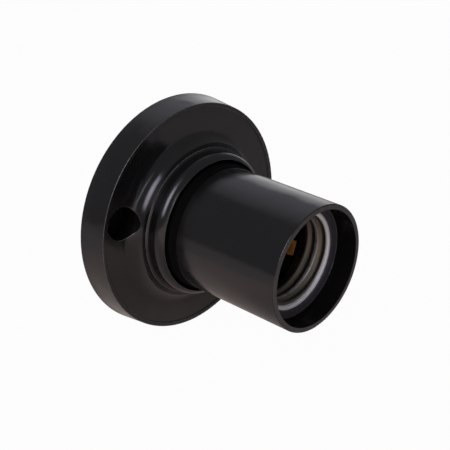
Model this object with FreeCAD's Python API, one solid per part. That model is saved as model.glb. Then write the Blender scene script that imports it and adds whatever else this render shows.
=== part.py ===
"""Surface-mounted E27 lamp holder in black moulded phenolic, screwed flat to a wall or ceiling.

Millimetres.  Every piece is drawn on a turning axis: +z runs from the wall out to the lamp, z = 0 is
the back face and x, y are right and up for someone who faces the holder.  stand_on_wall() then lays
that axis along -Y, so the finished holder is screwed to the plane Y = 0 with +Z up.
"""
import FreeCAD
import Part
import math
import os

# ---------------------------------------------------------------- driving dimensions
# base: flange
flange_back_d = 72.0        # edge that lies on the wall
flange_front_d = 70.0       # front edge, after the draft
flange_h = 8.6              # wall to the top of the raised lip
lip_w = 1.15                # raised lip round the front edge
lip_h = 0.5
lip_slope = 0.3
edge_r = 0.2                # rounding of the lip's two edges
moulding_wall = 2.4         # general wall of the base
rim_wall = 2.7              # wall of the flange's outer skirt at the back
hollow_corner_r = 1.0
# base: collar
cove_r = 4.3                # hollow curve from the flange up to the collar
cove_rise = 4.2
ledge_w = 0.55              # flat step at the foot of the collar
ledge_rise = 0.25
collar_h = 17.4             # wall to the top of the collar
collar_wall = 1.85
collar_draft = 0.15
bead_r = 3.0                # rounding from the collar's wall over to its mouth
mouth_bevel = 0.15
mouth_depth = 3.2           # plain mouth above the collar's thread
floor_z = 5.0               # front of the floor that carries the insert
floor_t = 2.4
# base: fixing holes
screw_line_deg = 165.9      # direction of one fixing hole, the other is opposite
screw_head_d = 9.8          # counterbore
screw_hole_d = 4.4
screw_seat_z = 3.4
screw_boss_wall = 1.8
hole_rim_r = 0.3            # rounding where a counterbore opens on the flange
head_margin = 0.45          # counterbore to lip
rib_t = 1.8
rib_count = 6               # two of the six are the screw bosses
# screw joint between collar and shell
body_pitch = 2.0
body_thread_depth = 0.75
body_crest = 0.5            # flat on top of the ridge
flank_deg = 30.0
thread_clear = 0.2
ridge_sink = 0.3            # ridge's root below the surface that carries it
plain_tail = 2.0            # tail left without thread at its end
thread_end_deg = 102.0      # where the shell's ridge runs out
mouth_gap = 1.05            # shell's ridge to the collar's plain mouth
# shell
shell_rear_d = 37.2
shell_mouth_d = 36.4
shell_step = 0.25           # body above the thread's core
holder_h = 55.9             # wall to the mouth
thread_top_z = 20.2         # end of the shell's threaded tail
tail_room = 2.25            # bore of the sleeve out to the bore of the tail, for the contacts
seat_gap = 0.3              # shell's tail to the floor when screwed home
skirt_wall = 1.53
skirt_depth = 6.6           # mouth to the ledge round the sleeve
mouth_edge_r = 0.25
mouth_inner_r = 0.12
ledge_corner_r = 0.2
throat_r = 1.2              # bore from the tail up to the sleeve's shelf
tail_edge = 0.5             # bevel at the end of the tail
# E27 sleeve
e27_pitch = 3.629
e27_minor_d = 24.6
e27_major_d = 26.6
e27_land = 0.6              # flat of the drawn crest
e27_shoulder = 1.44         # width of the crest half way down
e27_foot = 2.8              # width of the crest where it meets the groove
sheet_t = 0.4
sleeve_l = 10.45
sleeve_clear = 0.25
rim_w = 0.9                # rolled rim, measured outwards from the groove
rim_sink = 0.5             # rim below the ledge
tail_grip = 0.5             # lower edge turned out under the shell's shoulder
sleeve_bend_r = 0.6         # inside radius of both turned edges
first_crest = 3.8          # rim down to the crest, measured in the direction below
first_crest_deg = -30.0
# insert and contacts
insert_turn_deg = -20.0     # direction of the side contact
insert_gap = 0.8
insert_h = 12.0
insert_edge = 0.5
bore_margin = 1.0           # bore up the middle of the insert, inside the feet
strip_t = 0.6
strip_bend_r = 1.1
foot_inner = 5.2            # inner edge of each contact's foot, from the axis
foot_outer = 12.2
foot_low = -7.8             # ends of a foot, across the holder
foot_high = 7.6
recess_clear = 0.15
centre_w = 5.0
centre_bend = 4.0           # where the centre contact turns up, from the axis
centre_depth = 30.7         # mouth to the top of the centre contact
centre_reach = 2.4          # flat top of the centre contact, past the axis
centre_lip = 1.4            # its free end, turned down
tongue_w = 4.4
tongue_r = 13.5             # upright part of the side contact, from the axis
tongue_lean_r = 11.3        # where it leans furthest in
tongue_tip_r = 12.9
tongue_lean_drop = 2.4      # that place below the sleeve
tongue_straight_drop = 8.0  # end of the upright part below the sleeve
tongue_gap = 0.25           # tongue's tip to the sleeve
# fasteners
terminal_d = 3.5
terminal_head_d = 6.4
terminal_head_h = 2.0
terminal_l = 9.0
terminal_at = (8.8, -4.6)   # in each contact's own directions, u out along its foot
fixing_d = 3.0
fixing_head_d = 5.6
fixing_head_h = 1.9
fixing_deg = 75.0           # from the side contact
fixing_circle_r = 10.9
fixing_web = 3.0            # insert left under the fixing screw's head
washer_t = 0.8
washer_split = 0.7
washer_inset = 0.2          # washer inside its screw's head
clamp_t = 0.7
clamp_side = 6.4
nut_side = 6.0
nut_t = 2.4
fixing_nut_af = 5.5
fixing_nut_t = 2.2
nut_sink = 0.3              # nut below the end of its boss
nut_boss_wall = 1.6
tip_stand = 0.2             # fixing screw's tip past its nut
hole_clear = 0.15           # on a radius, round a screw
thread_fit = 0.03           # on a radius, screw in its nut
rivet_d = 2.2
rivet_head_d = 3.8
rivet_head_h = 0.8
rivet_at = (9.4, 5.2)
rivet_web = 4.0             # insert between a rivet's two heads
wire_hole_d = 6.4
wire_deg = -70.0
wire_circle_r = 12.4

# ---------------------------------------------------------------- worked out from them
Z = FreeCAD.Vector(0, 0, 1)
ORIGIN = FreeCAD.Vector(0, 0, 0)
OVER = 1.0                  # cutting pieces run this far past the faces that they open

flange_back_r = flange_back_d / 2
flange_front_r = flange_front_d / 2
dish_z = flange_h - lip_h
lip_inner_r = flange_front_r - lip_w

shell_rear_r = shell_rear_d / 2
shell_mouth_r = shell_mouth_d / 2
core_r = shell_rear_r - shell_step                  # root of the shell's thread
ridge_r = core_r + body_thread_depth                # crest of the shell's thread
tail_z = floor_z + seat_gap

nut_bore_r = core_r + thread_clear                  # crest of the collar's thread
nut_root_r = ridge_r + thread_clear
mouth_r = ridge_r + mouth_gap
collar_r = mouth_r + collar_wall
collar_foot_r = collar_r + collar_draft
crease_r = collar_foot_r + ledge_w
crease_z = dish_z + cove_rise
cove_run = math.sqrt(cove_r ** 2 - (cove_r - cove_rise) ** 2)
cove_start_r = crease_r + cove_run
mouth_z = collar_h - mouth_depth

screw_r = lip_inner_r - lip_slope - head_margin - screw_head_d / 2
boss_r = screw_head_d / 2 + screw_boss_wall

minor_r = e27_minor_d / 2
major_r = e27_major_d / 2
sleeve_out_r = major_r + sheet_t
sleeve_bore_r = sleeve_out_r + sleeve_clear
tail_bore_r = sleeve_bore_r + tail_room
rim_r = major_r + rim_w
ledge_z = holder_h - skirt_depth
rim_top_z = ledge_z - rim_sink
sleeve_z = rim_top_z - sleeve_l                      # lower edge of the sleeve
shelf_z = sleeve_z + sheet_t + sleeve_clear          # shell's shoulder over that edge
tail_r = sleeve_bore_r + tail_grip
skirt_r = shell_mouth_r - skirt_wall

insert_r = tail_bore_r - insert_gap
insert_top_z = floor_z + insert_h
foot_z = insert_top_z - strip_t / 2                 # middle of the sheet in a foot
centre_z = holder_h - centre_depth - strip_t / 2

nut_boss_z = floor_z - floor_t - fixing_nut_t
fixing_nut_z = nut_boss_z + nut_sink
fixing_seat_z = floor_z + fixing_web


# ---------------------------------------------------------------- drawing helpers
def at(angle_deg, radius):
    """Place on a circle about the turning axis."""
    angle = math.radians(angle_deg)
    return radius * math.cos(angle), radius * math.sin(angle)


def disc(radius, low, high, x=0.0, y=0.0):
    return Part.makeCylinder(radius, high - low, FreeCAD.Vector(x, y, low))


def block(x0, x1, y0, y1, z0, z1):
    return Part.makeBox(x1 - x0, y1 - y0, z1 - z0, FreeCAD.Vector(x0, y0, z0))


def joined(solids):
    """One solid out of pieces that overlap, with seams between like faces removed."""
    whole = solids[0].fuse(list(solids[1:]))
    return whole.removeSplitter()


class Outline:
    """A closed section in the r-z plane, drawn point by point with straight and round stretches."""

    def __init__(self, r, z):
        self.start = (r, z)
        self.here = (r, z)
        self.edges = []

    def point(self, r, z):
        return FreeCAD.Vector(r, 0, z)

    def line(self, r, z):
        self.edges.append(Part.LineSegment(self.point(*self.here), self.point(r, z)).toShape())
        self.here = (r, z)
        return self

    def arc(self, centre, r, z):
        """Round stretch about a centre, the short way."""
        a0 = math.atan2(self.here[1] - centre[1], self.here[0] - centre[0])
        a1 = math.atan2(z - centre[1], r - centre[0])
        sweep = (a1 - a0 + math.pi) % (2 * math.pi) - math.pi
        radius = math.hypot(r - centre[0], z - centre[1])
        middle = a0 + sweep / 2
        bulge = (centre[0] + radius * math.cos(middle), centre[1] + radius * math.sin(middle))
        curve = Part.Arc(self.point(*self.here), self.point(*bulge), self.point(r, z))
        self.edges.append(curve.toShape())
        self.here = (r, z)
        return self

    def face(self):
        if self.here != self.start:
            self.line(*self.start)
        return Part.Face(Part.Wire(self.edges))

    def turned(self):
        return self.face().revolve(ORIGIN, Z, 360)


def helix_edge(pitch, turns, radius, low, start_deg):
    """Right-handed helix that starts at height low in the direction start_deg."""
    edge = Part.makeHelix(pitch, pitch * turns, radius)
    edge.rotate(ORIGIN, Z, start_deg)
    edge.translate(FreeCAD.Vector(0, 0, low))
    return edge.Edges[0]


def helical_bar(pitch, turns, section, low, start_deg):
    """Solid bar wound round the axis.  section holds (radius, height) corners in order, with heights
    measured from the helix that starts at low."""
    rails = [helix_edge(pitch, turns, r, low + h, start_deg) for r, h in section]
    faces = []
    for rail, following in zip(rails, rails[1:] + rails[:1]):
        faces.append(Part.makeRuledSurface(rail, following))
    for end in (0, -1):
        corners = [rail.Vertexes[end].Point for rail in rails]
        faces.append(Part.Face(Part.makePolygon(corners + corners[:1])))
    shell = Part.makeShell(faces)
    shell.sewShape()
    bar = Part.Solid(shell.Shells[0] if shell.Shells else shell)
    if bar.Volume < 0:
        bar.reverse()
    return bar


def bent_strip(path, thickness, bend_r, low, high):
    """Sheet-metal strip.  path holds (u, z) corners of its middle line and it spans v = low..high."""
    left, right = [], []

    def vec(point):
        return FreeCAD.Vector(point[0], low, point[1])

    def unit(a, b):
        length = math.hypot(b[0] - a[0], b[1] - a[1])
        return (b[0] - a[0]) / length, (b[1] - a[1]) / length

    def shifted(point, direction, side):
        return (point[0] - direction[1] * side * thickness / 2,
                point[1] + direction[0] * side * thickness / 2)

    for side, edges in ((1, left), (-1, right)):
        here = shifted(path[0], unit(path[0], path[1]), side)
        for before, corner, after in zip(path, path[1:], path[2:]):
            d1, d2 = unit(before, corner), unit(corner, after)
            turn = math.atan2(d1[0] * d2[1] - d1[1] * d2[0], d1[0] * d2[0] + d1[1] * d2[1])
            cut_back = bend_r * math.tan(abs(turn) / 2)
            start = (corner[0] - d1[0] * cut_back, corner[1] - d1[1] * cut_back)
            end = (corner[0] + d2[0] * cut_back, corner[1] + d2[1] * cut_back)
            hand = math.copysign(1, turn)
            centre = (start[0] - d1[1] * hand * bend_r, start[1] + d1[0] * hand * bend_r)
            radius = bend_r - hand * side * thickness / 2
            to_corner = unit(centre, corner)
            a = shifted(start, d1, side)
            b = shifted(end, d2, side)
            middle = (centre[0] + to_corner[0] * radius, centre[1] + to_corner[1] * radius)
            edges.append(Part.LineSegment(vec(here), vec(a)).toShape())
            edges.append(Part.Arc(vec(a), vec(middle), vec(b)).toShape())
            here = b
        last = shifted(path[-1], unit(path[-2], path[-1]), side)
        edges.append(Part.LineSegment(vec(here), vec(last)).toShape())
    closing = [Part.LineSegment(a.Vertexes[i].Point, b.Vertexes[i].Point).toShape()
               for a, b, i in ((left[0], right[0], 0), (left[-1], right[-1], -1))]
    face = Part.Face(Part.Wire(Part.__sortEdges__(left + right + closing)))
    return face.extrude(FreeCAD.Vector(0, high - low, 0))


def turned_insert(shape, half_turn=False):
    """From the insert's own u-v directions to the holder's x-y."""
    shape = shape.copy()
    shape.rotate(ORIGIN, Z, insert_turn_deg + (180 if half_turn else 0))
    return shape


def stand_on_wall(shape):
    shape = shape.copy()
    shape.rotate(ORIGIN, FreeCAD.Vector(1, 0, 0), 90)
    return shape


# ---------------------------------------------------------------- screw joint
def body_ridge(root, crest, extra, turns, low, start_deg):
    """Ridge of the collar joint.  root is sunk below the surface that carries it, and extra widens
    the form all round, for the groove that receives it."""
    spread = math.tan(math.radians(flank_deg))
    top = body_crest / 2 + extra
    foot = top + (crest - root) * spread
    section = [(root, -foot), (crest, -top), (crest, top), (root, foot)]
    return helical_bar(body_pitch, turns, section, low, start_deg)


# ---------------------------------------------------------------- base
def base_outside():
    """Flange, cove and collar as a solid of revolution, before it is hollowed."""
    o = Outline(0, 0)
    o.line(flange_back_r, 0)
    o.line(flange_front_r, flange_h - edge_r)
    o.arc((flange_front_r - edge_r, flange_h - edge_r), flange_front_r - edge_r, flange_h)
    o.line(lip_inner_r + edge_r, flange_h)
    o.arc((lip_inner_r + edge_r, flange_h - edge_r), lip_inner_r, flange_h - edge_r)
    o.line(lip_inner_r - lip_slope, dish_z)
    o.line(cove_start_r, dish_z)
    o.arc((cove_start_r, dish_z + cove_r), crease_r, crease_z)
    o.line(collar_foot_r, crease_z + ledge_rise)
    bead_centre_r = collar_r - bead_r
    bead_z = collar_h - math.sqrt(bead_r ** 2 - (mouth_r - bead_centre_r) ** 2)
    o.line(collar_r, bead_z)
    o.arc((bead_centre_r, bead_z), mouth_r, collar_h)
    o.line(0, collar_h)
    return o.turned()


def base_back_hollow():
    """Ring-shaped hollow behind the flange, one wall inside its front."""
    tube_r = collar_r
    under_r = cove_r + moulding_wall
    centre = (cove_start_r, dish_z + cove_r)
    meet_z = centre[1] - math.sqrt(under_r ** 2 - (cove_start_r - tube_r) ** 2)
    outer_r = flange_back_r - rim_wall
    o = Outline(tube_r, -OVER)
    o.line(outer_r, -OVER)
    under_z = dish_z - moulding_wall
    corner = (outer_r - hollow_corner_r, under_z - hollow_corner_r)
    o.line(outer_r, corner[1])
    o.arc(corner, corner[0], under_z)
    o.line(cove_start_r, under_z)
    o.arc(centre, tube_r, meet_z)
    return o.turned()


def base_bosses():
    """What stays standing in the back hollow: two screw bosses and the ribs between them."""
    pieces = []
    for side in range(rib_count):
        angle = screw_line_deg + side * 360 / rib_count
        if side % (rib_count // 2) == 0:
            pieces.append(disc(boss_r, -OVER, collar_h, *at(angle, screw_r)))
        else:
            rib = block(collar_r - OVER, flange_back_r, -rib_t / 2, rib_t / 2, -OVER, collar_h)
            rib.rotate(ORIGIN, Z, angle)
            pieces.append(rib)
    return joined(pieces)


def base_thread_room():
    """Bore of the collar: plain mouth, lead-in and the crest diameter of its thread."""
    lead = mouth_r - nut_bore_r
    o = Outline(0, floor_z)
    o.line(nut_root_r, floor_z)
    o.line(nut_root_r, floor_z + body_pitch / 2)
    o.line(nut_bore_r, floor_z + body_pitch / 2 + nut_root_r - nut_bore_r)
    o.line(nut_bore_r, mouth_z - lead / 2)
    o.line(mouth_r, mouth_z + lead / 2)
    o.line(mouth_r, collar_h - mouth_bevel)
    o.line(mouth_r + mouth_bevel + OVER, collar_h + OVER)
    o.line(0, collar_h + OVER)
    return o.turned()


def base():
    body = base_outside()
    body = body.cut(base_back_hollow().cut(base_bosses()))
    body = body.cut(base_thread_room())
    turns = math.ceil((mouth_z - floor_z) / body_pitch) + 1
    groove = body_ridge(nut_bore_r - ridge_sink, nut_root_r, thread_clear, turns, ridge_start_z(),
                        thread_end_deg)
    body = body.cut(groove)
    body = body.cut(disc(nut_bore_r - moulding_wall / 2, -OVER, floor_z - floor_t).cut(nut_bosses()))
    rims = []
    for angle in (screw_line_deg, screw_line_deg + 180):
        x, y = at(angle, screw_r)
        body = body.cut(disc(screw_hole_d / 2, -OVER, screw_seat_z + OVER, x, y))
        body = body.cut(disc(screw_head_d / 2, screw_seat_z, collar_h, x, y))
        rims.append((x, y))
    for x, y in rims:
        body = body.makeFillet(hole_rim_r, counterbore_rim(body, x, y))
    for hole in floor_holes():
        body = body.cut(hole)
    return body


def counterbore_rim(body, x, y):
    """Edges where a counterbore opens on the flange and on the cove."""
    def on_its_wall(edge):
        return all(abs(math.hypot(p.x - x, p.y - y) - screw_head_d / 2) < 1e-3 for p in edge.discretize(5))

    return [e for e in body.Edges if e.BoundBox.ZMin > screw_seat_z + hole_rim_r and on_its_wall(e)]


def fixing_places():
    """Insert's two fixing screws, in the insert's own directions."""
    return [at(fixing_deg, fixing_circle_r), at(fixing_deg + 180, fixing_circle_r)]


def wire_places():
    return [at(wire_deg, wire_circle_r), at(wire_deg + 180, wire_circle_r)]


def nut_boss_r():
    return fixing_nut_af / 2 / math.cos(math.radians(30)) + nut_boss_wall


def nut_bosses():
    """Thick places under the floor that hold the fixing nuts."""
    pieces = [disc(nut_boss_r(), nut_boss_z, floor_z, x, y) for x, y in fixing_places()]
    return turned_insert(Part.makeCompound(pieces))


def hexagon(across_flats, low, high, x, y):
    corner_r = across_flats / 2 / math.cos(math.radians(30))
    corners = [FreeCAD.Vector(x + corner_r * math.cos(k * math.pi / 3),
                              y + corner_r * math.sin(k * math.pi / 3), low) for k in range(7)]
    return Part.Face(Part.makePolygon(corners)).extrude(FreeCAD.Vector(0, 0, high - low))


def floor_holes():
    """Fixing holes with their nut pockets, and the two wire holes."""
    holes = []
    for x, y in fixing_places():
        holes.append(disc(fixing_d / 2 + hole_clear, -OVER, floor_z + OVER, x, y))
        holes.append(hexagon(fixing_nut_af + 2 * hole_clear, -OVER, fixing_nut_z + fixing_nut_t, x, y))
    for x, y in wire_places():
        holes.append(disc(wire_hole_d / 2, -OVER, floor_z + OVER, x, y))
    return [turned_insert(hole) for hole in holes]


# ---------------------------------------------------------------- shell
def shell():
    """Skirted tube with the collar's thread on its tail and a stepped seat for the sleeve."""
    o = Outline(tail_bore_r + tail_edge, tail_z)
    o.line(core_r - tail_edge, tail_z)
    o.line(core_r, tail_z + tail_edge)
    o.line(core_r, thread_top_z)
    o.arc((core_r, thread_top_z + shell_step), shell_rear_r, thread_top_z + shell_step)
    o.line(shell_mouth_r, holder_h - mouth_edge_r)
    o.arc((shell_mouth_r - mouth_edge_r, holder_h - mouth_edge_r), shell_mouth_r - mouth_edge_r, holder_h)
    o.line(skirt_r + mouth_inner_r, holder_h)
    o.arc((skirt_r + mouth_inner_r, holder_h - mouth_inner_r), skirt_r, holder_h - mouth_inner_r)
    o.line(skirt_r, ledge_z + ledge_corner_r)
    o.arc((skirt_r - ledge_corner_r, ledge_z + ledge_corner_r), skirt_r - ledge_corner_r, ledge_z)
    o.line(rim_r + sleeve_clear, ledge_z)
    o.line(rim_r + sleeve_clear, rim_top_z - sheet_t)
    o.line(sleeve_bore_r, rim_top_z - sheet_t)
    o.line(sleeve_bore_r, shelf_z)
    o.line(tail_bore_r - throat_r, shelf_z)
    o.arc((tail_bore_r - throat_r, shelf_z - throat_r), tail_bore_r, shelf_z - throat_r)
    o.line(tail_bore_r, tail_z + tail_edge)
    body = o.turned()
    turns = shell_turns()
    ridge = body_ridge(core_r - ridge_sink, ridge_r, 0, turns, ridge_start_z(), thread_end_deg)
    return body.fuse(ridge)


def shell_turns():
    """Whole turns of ridge that fit on the tail."""
    return math.floor((thread_top_z - tail_z - plain_tail) / body_pitch)


def ridge_start_z():
    """Height of the ridge's middle line where it starts, under the point where it runs out."""
    top = thread_top_z - body_crest / 2 - body_thread_depth * math.tan(math.radians(flank_deg))
    return top - shell_turns() * body_pitch


# ---------------------------------------------------------------- E27 sleeve
def sleeve_section(crest, foot, extra):
    """Crest of the Edison thread seen from inside, chords for its round form."""
    half = (crest + foot) / 2
    return [(foot, -e27_foot / 2 + extra), (half, -e27_shoulder / 2 + extra), (crest, -e27_land / 2 + extra),
            (crest, e27_land / 2 - extra), (half, e27_shoulder / 2 - extra), (foot, e27_foot / 2 - extra)]


def thread_sleeve():
    """Rolled sheet: tube with the thread pressed in, a rim turned out over the ledge and a lower edge
    turned out under the shell's shoulder."""
    low_z = sleeve_z + sleeve_bend_r
    high_z = rim_top_z - sleeve_bend_r
    half_t = sheet_t / 2
    o = Outline(major_r, low_z)
    o.line(major_r, high_z)
    o.arc((major_r + sleeve_bend_r, high_z), major_r + sleeve_bend_r, rim_top_z)
    o.line(rim_r - half_t, rim_top_z)
    o.arc((rim_r - half_t, rim_top_z - half_t), rim_r, rim_top_z - half_t)
    o.arc((rim_r - half_t, rim_top_z - half_t), rim_r - half_t, rim_top_z - sheet_t)
    o.line(sleeve_out_r, rim_top_z - sheet_t)
    o.line(sleeve_out_r, sleeve_z + sheet_t)
    o.line(tail_r, sleeve_z + sheet_t)
    o.line(tail_r, sleeve_z)
    o.line(major_r + sleeve_bend_r, sleeve_z)
    o.arc((major_r + sleeve_bend_r, low_z), major_r, low_z)
    tube = o.turned()
    start_z = low_z + sheet_t + e27_foot / 2
    crest_z = rim_top_z - first_crest
    start_deg = first_crest_deg - (crest_z - start_z) / e27_pitch * 360
    turns = (high_z - e27_foot / 2 - start_z) / e27_pitch
    pressed_in = sleeve_section(minor_r, major_r + half_t, 0)
    crest = helical_bar(e27_pitch, turns, pressed_in, start_z, start_deg)
    end_wall_deg = math.degrees(2 * sheet_t / major_r)
    seen_outside = sleeve_section(minor_r + sheet_t, sleeve_out_r + half_t, sheet_t / 4)
    inset = end_wall_deg / 360
    valley = helical_bar(e27_pitch, turns - 2 * inset, seen_outside, start_z + inset * e27_pitch,
                         start_deg + end_wall_deg)
    return tube.fuse(crest).cut(valley)


# ---------------------------------------------------------------- insert
def foot_plan(extra, low, high):
    """Plan of a contact's foot, with extra all round for the recess that takes it."""
    return block(foot_inner - extra, foot_outer + extra, foot_low - extra, foot_high + extra, low, high)


def tongue_plan(inner, outer, width, low):
    """Recess for the root of a tongue, open at the top."""
    half = width / 2 + recess_clear
    return block(inner, outer, -half, half, low, insert_top_z + OVER)


def contact_insert():
    """Moulded block that carries both contacts, drawn in the side contact's directions."""
    body = disc(insert_r, floor_z, insert_top_z)
    body = body.makeChamfer(insert_edge, [e for e in body.Edges if e.BoundBox.ZMin > insert_top_z - 0.01])
    cuts = [disc(foot_inner - bore_margin, floor_z - OVER, floor_z + insert_h - 2 * moulding_wall)]
    recess_z = insert_top_z - strip_t
    for half_turn in (False, True):
        own = [foot_plan(recess_clear, recess_z, insert_top_z + OVER)]
        nut_room = nut_side / 2 + recess_clear
        x, y = terminal_at
        own.append(block(x - nut_room, x + nut_room, y - nut_room, y + nut_room,
                         recess_z - nut_t - recess_clear, insert_top_z))
        own.append(disc(terminal_d / 2 + hole_clear, terminal_tip_z() - OVER, insert_top_z, x, y))
        x, y = rivet_at
        own.append(disc(rivet_d / 2 + hole_clear, floor_z, insert_top_z, x, y))
        own.append(disc(rivet_head_d / 2 + hole_clear, floor_z - OVER, recess_z - rivet_web, x, y))
        cuts += [half_turned(c) if half_turn else c for c in own]
    cuts.append(tongue_plan(foot_inner, insert_r, tongue_w, recess_z))
    bend_room = centre_bend - strip_t - recess_clear
    cuts.append(half_turned(tongue_plan(bend_room, foot_inner, centre_w, recess_z)))
    for x, y in fixing_places():
        cuts.append(disc(fixing_d / 2 + hole_clear, floor_z - OVER, insert_top_z, x, y))
        cuts.append(disc(fixing_head_d / 2 + 2 * hole_clear, fixing_seat_z, insert_top_z + OVER, x, y))
    for angle in (wire_deg, wire_deg + 180):
        x, y = at(angle, wire_circle_r)
        cuts.append(disc(wire_hole_d / 2, floor_z - OVER, insert_top_z + OVER, x, y))
        way_out = block(wire_circle_r, insert_r + OVER, -wire_hole_d / 2, wire_hole_d / 2,
                        floor_z - OVER, insert_top_z + OVER)
        way_out.rotate(ORIGIN, Z, angle)
        cuts.append(way_out)
    for c in cuts:
        body = body.cut(c)
    return turned_insert(body)


def half_turned(shape):
    shape = shape.copy()
    shape.rotate(ORIGIN, Z, 180)
    return shape


# ---------------------------------------------------------------- contacts
def foot_with_tongue(path, tongue_inner, width):
    """Bent sheet trimmed to a wide foot and a narrow tongue, with the foot's two holes."""
    sheet = bent_strip(path, strip_t, strip_bend_r, foot_low, foot_high)
    plan = foot_plan(0, insert_top_z - strip_t - OVER, insert_top_z + strip_t / 2)
    plan = plan.fuse(block(tongue_inner, insert_r, -width / 2, width / 2, floor_z, holder_h))
    sheet = sheet.common(plan)
    x, y = terminal_at
    sheet = sheet.cut(disc(terminal_d / 2 + hole_clear, floor_z, holder_h, x, y))
    x, y = rivet_at
    return sheet.cut(disc(rivet_d / 2, floor_z, holder_h, x, y))


def side_contact():
    """Foot under its terminal and a springy tongue up to the sleeve's lower edge."""
    path = [(foot_inner, foot_z), (tongue_r, foot_z), (tongue_r, sleeve_z - tongue_straight_drop),
            (tongue_lean_r, sleeve_z - tongue_lean_drop),
            (tongue_tip_r, sleeve_z - tongue_gap - strip_t / 2)]
    return turned_insert(foot_with_tongue(path, foot_inner, tongue_w))


def centre_contact():
    """Foot opposite the side contact and a springy arch under the lamp's end."""
    path = [(foot_outer, foot_z), (centre_bend, foot_z), (centre_reach, centre_z),
            (-centre_reach, centre_z), (-centre_reach - centre_lip / 2, centre_z - centre_lip)]
    return turned_insert(foot_with_tongue(path, -foot_inner, centre_w), half_turn=True)


# ---------------------------------------------------------------- fasteners
def cheese_screw(head_d, head_h, shank_d, seat_z, tip_z, x, y):
    """Slotted screw that stands on seat_z, its thread shown by its full diameter."""
    slot_w = head_d / 6
    slot_h = head_h / 2
    head = disc(head_d / 2, seat_z, seat_z + head_h, x, y)
    head = head.makeFillet(head_h / 5, [e for e in head.Edges if e.BoundBox.ZMin > seat_z + head_h - 0.01])
    head = head.cut(block(x - head_d, x + head_d, y - slot_w / 2, y + slot_w / 2,
                          seat_z + head_h - slot_h, seat_z + head_h + OVER))
    shank = disc(shank_d / 2, tip_z, seat_z + head_h / 4, x, y)
    shank = shank.makeChamfer(shank_d / 8, [e for e in shank.Edges if e.BoundBox.ZMax < tip_z + 0.01])
    return head.fuse(shank).removeSplitter()


def spring_washer(shank_d, outer_d, low, x, y):
    high = low + washer_t
    ring = disc(outer_d / 2, low, high, x, y).cut(disc(shank_d / 2 + hole_clear, low, high, x, y))
    return ring.cut(block(x, x + outer_d, y - washer_split / 2, y + washer_split / 2, low, high))


def terminal_stack_z():
    """Heights of the terminal's clamp, its washer and the screw's seat."""
    clamp_z = insert_top_z
    washer_z = clamp_z + clamp_t
    return clamp_z, washer_z, washer_z + washer_t


def terminal_tip_z():
    return terminal_stack_z()[2] - terminal_l


def terminal_screw():
    return cheese_screw(terminal_head_d, terminal_head_h, terminal_d, terminal_stack_z()[2], terminal_tip_z(),
                        *terminal_at)


def terminal_washer():
    return spring_washer(terminal_d, terminal_head_d - 2 * washer_inset, terminal_stack_z()[1], *terminal_at)


def wire_clamp():
    """Square plate that presses the wire on the foot."""
    x, y = terminal_at
    half = clamp_side / 2
    low = terminal_stack_z()[0]
    plate = block(x - half, x + half, y - half, y + half, low, low + clamp_t)
    plate = plate.makeFillet(clamp_side / 8, [e for e in plate.Edges if e.BoundBox.ZLength > clamp_t / 2])
    return plate.cut(disc(terminal_d / 2 + hole_clear, low, low + clamp_t, x, y))


def terminal_nut():
    """Square nut that cannot turn in its pocket under the foot."""
    x, y = terminal_at
    half = nut_side / 2
    high = insert_top_z - strip_t
    nut = block(x - half, x + half, y - half, y + half, high - nut_t, high)
    return nut.cut(disc(terminal_d / 2 + thread_fit, high - nut_t, high, x, y))


def contact_rivet():
    """Rivet from the foot into the insert's underside, a domed head at each end."""
    x, y = rivet_at
    low = insert_top_z - strip_t - rivet_web
    upper = domed_head(insert_top_z, 1)
    lower = domed_head(low, -1)
    shank = disc(rivet_d / 2, low - rivet_head_h / 4, insert_top_z + rivet_head_h / 4)
    rivet = joined([shank, upper, lower])
    rivet.translate(FreeCAD.Vector(x, y, 0))
    return rivet


def domed_head(seat_z, direction):
    """Low dome that stands on seat_z, up or down."""
    half = rivet_head_d / 2
    ball_r = (half ** 2 + rivet_head_h ** 2) / (2 * rivet_head_h)
    o = Outline(0, seat_z)
    o.line(half, seat_z)
    o.arc((0, seat_z + direction * (rivet_head_h - ball_r)), 0, seat_z + direction * rivet_head_h)
    return o.turned()


def fixing_screw(place):
    return cheese_screw(fixing_head_d, fixing_head_h, fixing_d, fixing_seat_z + washer_t,
                        fixing_nut_z - tip_stand, *place)


def fixing_washer(place):
    return spring_washer(fixing_d, fixing_head_d - 2 * washer_inset, fixing_seat_z, *place)


def fixing_nut(place):
    nut = hexagon(fixing_nut_af, fixing_nut_z, fixing_nut_z + fixing_nut_t, *place)
    return nut.cut(disc(fixing_d / 2 + thread_fit, fixing_nut_z, fixing_nut_z + fixing_nut_t, *place))


# ---------------------------------------------------------------- output
def save(name, shape):
    stand_on_wall(shape).exportStep(os.path.join("parts", name + ".step"))
    print(name, "valid", shape.isValid(), "solids", len(shape.Solids), "volume", round(shape.Volume, 1))


def main():
    os.makedirs("parts", exist_ok=True)
    save("base", base())
    save("shell", shell())
    save("thread_sleeve", thread_sleeve())
    save("contact_insert", contact_insert())
    save("side_contact", side_contact())
    save("centre_contact", centre_contact())
    for half_turn, side in ((False, "side"), (True, "centre")):
        save(side + "_terminal_screw", turned_insert(terminal_screw(), half_turn))
        save(side + "_spring_washer", turned_insert(terminal_washer(), half_turn))
        save(side + "_wire_clamp", turned_insert(wire_clamp(), half_turn))
        save(side + "_terminal_nut", turned_insert(terminal_nut(), half_turn))
        save(side + "_contact_rivet", turned_insert(contact_rivet(), half_turn))
    for place, side in zip(fixing_places(), ("upper", "lower")):
        save(side + "_insert_screw", turned_insert(fixing_screw(place)))
        save(side + "_insert_washer", turned_insert(fixing_washer(place)))
        save(side + "_insert_nut", turned_insert(fixing_nut(place)))


main()
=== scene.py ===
"""Looks of the surface-mounted E27 lamp holder: finishes, fine threads, floor, lights, camera."""

import math

import bmesh
import bpy
from mathutils import Matrix, Vector


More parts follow.
